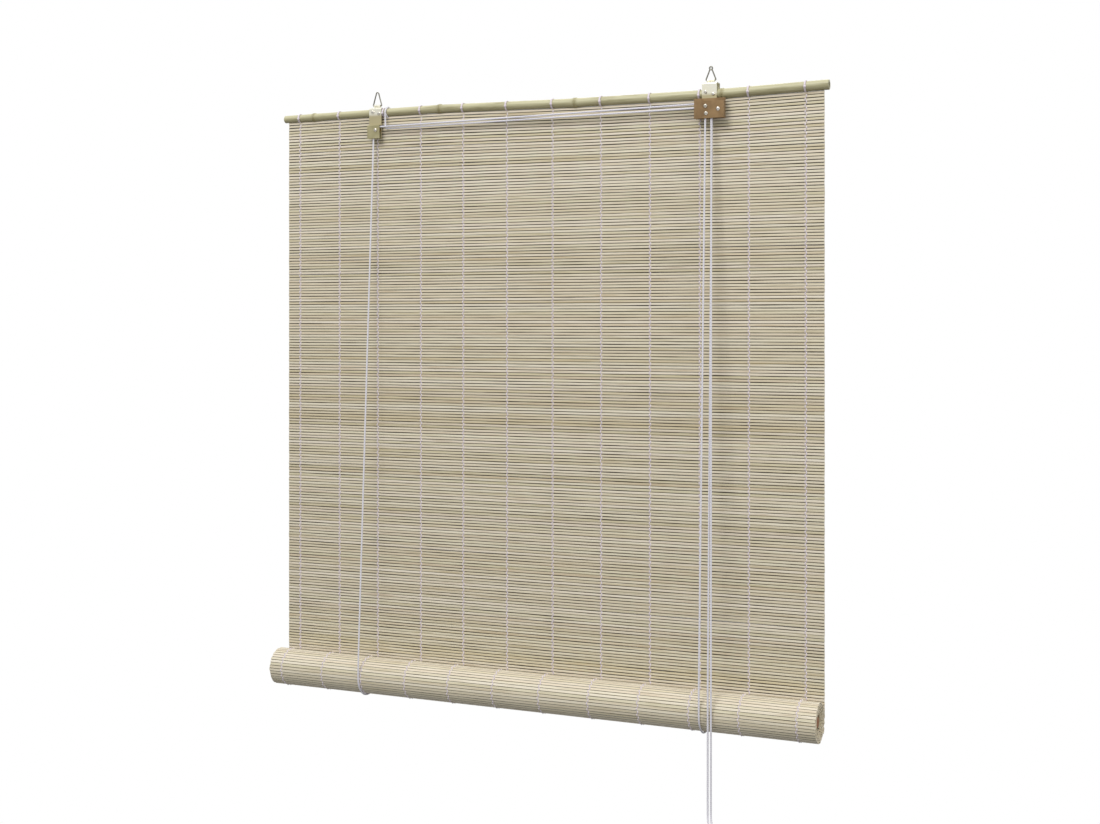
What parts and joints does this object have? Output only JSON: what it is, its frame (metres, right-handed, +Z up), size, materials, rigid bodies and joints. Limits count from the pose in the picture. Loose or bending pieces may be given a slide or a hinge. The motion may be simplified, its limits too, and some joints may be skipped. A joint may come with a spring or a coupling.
{
  "type": "bamboo roll up blind",
  "caption": "Bamboo roll up blind, half lowered: reed mat on a bamboo pole, hung by two wire rings, raised by white cords through a pulley and a cord lock.",
  "frame": {"origin": "Midway between the two hook points, the inner tops of the two hanging rings.", "axes": "+X to the right seen from the room, +Y towards the window or wall, +Z up."},
  "size_m": [0.812, 0.0793, 1.0601],
  "materials": {
    "bamboo_reeds": "split bamboo reeds, bare",
    "bamboo_pole": "green bamboo culm, bare",
    "rod_wood": "brown wooden rod",
    "warp_thread": "twisted cotton thread",
    "white_cord": "braided white cord",
    "nickel_steel": "nickel-plated pressed steel",
    "steel_wire": "bright steel wire",
    "brown_steel": "brown lacquered pressed steel",
    "rivet_steel": "bright steel rivets and screws",
    "pulley_brass": "turned brass"
  },
  "bodies": {
    "headrail": {"top_pole": "bamboo_pole", "hanging_mat": "bamboo_reeds", "pole_tie_1": "warp_thread", "pole_tie_2": "warp_thread", "pole_tie_3": "warp_thread", "pole_tie_4": "warp_thread", "pole_tie_5": "warp_thread", "pole_tie_6": "warp_thread", "pole_tie_7": "warp_thread", "pole_tie_8": "warp_thread", "pole_tie_9": "warp_thread", "pole_tie_10": "warp_thread", "pole_tie_11": "warp_thread", "pole_tie_12": "warp_thread", "warp_thread_1": "warp_thread", "warp_thread_2": "warp_thread", "warp_thread_3": "warp_thread", "warp_thread_4": "warp_thread", "warp_thread_5": "warp_thread", "warp_thread_6": "warp_thread", "warp_thread_7": "warp_thread", "warp_thread_8": "warp_thread", "warp_thread_9": "warp_thread", "warp_thread_10": "warp_thread", "warp_thread_11": "warp_thread", "warp_thread_12": "warp_thread", "left_strap": "nickel_steel", "left_strap_screws": "rivet_steel", "pulley_bracket": "nickel_steel", "pulley_rivet": "rivet_steel", "right_strap": "nickel_steel", "right_strap_screws": "rivet_steel", "lock_housing": "brown_steel", "lock_rivets": "rivet_steel", "left_lift_cord_front": "white_cord", "left_lift_cord_back": "white_cord", "left_lift_cord_knot": "white_cord", "right_lift_cord_front": "white_cord", "right_lift_cord_back": "white_cord", "right_lift_cord_knot": "white_cord", "cross_cord": "white_cord", "cross_cord_tail": "white_cord", "lock_cord": "white_cord", "left_pull_cord": "white_cord", "right_pull_cord": "white_cord"},
    "left_ring": {"left_ring": "steel_wire"},
    "right_ring": {"right_ring": "steel_wire"},
    "pulley_wheel": {"pulley_wheel": "pulley_brass"},
    "lock_roller": {"lock_roller": "pulley_brass"},
    "lock_cam": {"lock_cam": "nickel_steel"},
    "roll_carriage": {"left_lift_cord_loop": "white_cord", "right_lift_cord_loop": "white_cord", "left_pull_cord_lower": "white_cord", "right_pull_cord_lower": "white_cord"},
    "roll": {"mat_roll": "bamboo_reeds", "bottom_rod": "rod_wood", "roll_threads": "warp_thread"},
    "pull_end": {"pull_cord_hank": "white_cord", "hank_tie": "white_cord", "pull_cord_knots": "white_cord"}
  },
  "joints": [
    {"name": "left_ring_swing", "type": "hinge", "parent": "headrail", "child": "left_ring", "pos_m": [-0.25, 0, -0.01856], "axis": [1, 0, 0], "range_deg": [-80, 80]},
    {"name": "right_ring_swing", "type": "hinge", "parent": "headrail", "child": "right_ring", "pos_m": [0.25, 0, -0.01368], "axis": [1, 0, 0], "range_deg": [-80, 80]},
    {"name": "pulley_wheel_spin", "type": "hinge", "parent": "headrail", "child": "pulley_wheel", "pos_m": [-0.2465, -0.00953, -0.0545], "axis": [0, 1, 0], "continuous": true},
    {"name": "lock_roller_spin", "type": "hinge", "parent": "headrail", "child": "lock_roller", "pos_m": [0.2475, -0.01197, -0.049], "axis": [0, 1, 0], "continuous": true},
    {"name": "lock_cam_swing", "type": "hinge", "parent": "headrail", "child": "lock_cam", "pos_m": [0.2646, -0.01197, -0.0535], "axis": [0, 1, 0], "range_deg": [-40, 0]},
    {"name": "roll_lift", "type": "slide", "parent": "headrail", "child": "roll_carriage", "axis": [0, 0, 1], "range_m": [0, 0.7], "deforming": ["hanging_mat", "warp_thread_1", "warp_thread_2", "warp_thread_3", "warp_thread_4", "warp_thread_5", "warp_thread_6", "warp_thread_7", "warp_thread_8", "warp_thread_9", "warp_thread_10", "warp_thread_11", "warp_thread_12", "left_lift_cord_front", "left_lift_cord_back", "left_pull_cord", "right_lift_cord_front", "right_lift_cord_back", "right_pull_cord"]},
    {"name": "roll_turn", "type": "hinge", "parent": "roll_carriage", "child": "roll", "pos_m": [0, -0.0251, -0.83186], "axis": [1, 0, 0], "range_deg": [-1543.6, 0]},
    {"name": "pull_drop", "type": "slide", "parent": "roll_carriage", "child": "pull_end", "axis": [0, 0, 1], "range_m": [-2.1, 0], "deforming": ["left_pull_cord_lower", "right_pull_cord_lower"]}
  ],
  "couplings": [
    {"joint": "roll_turn", "follows": "roll_lift", "rad_per_m": -38.462},
    {"joint": "pull_drop", "follows": "roll_lift", "ratio": -3}
  ]
}
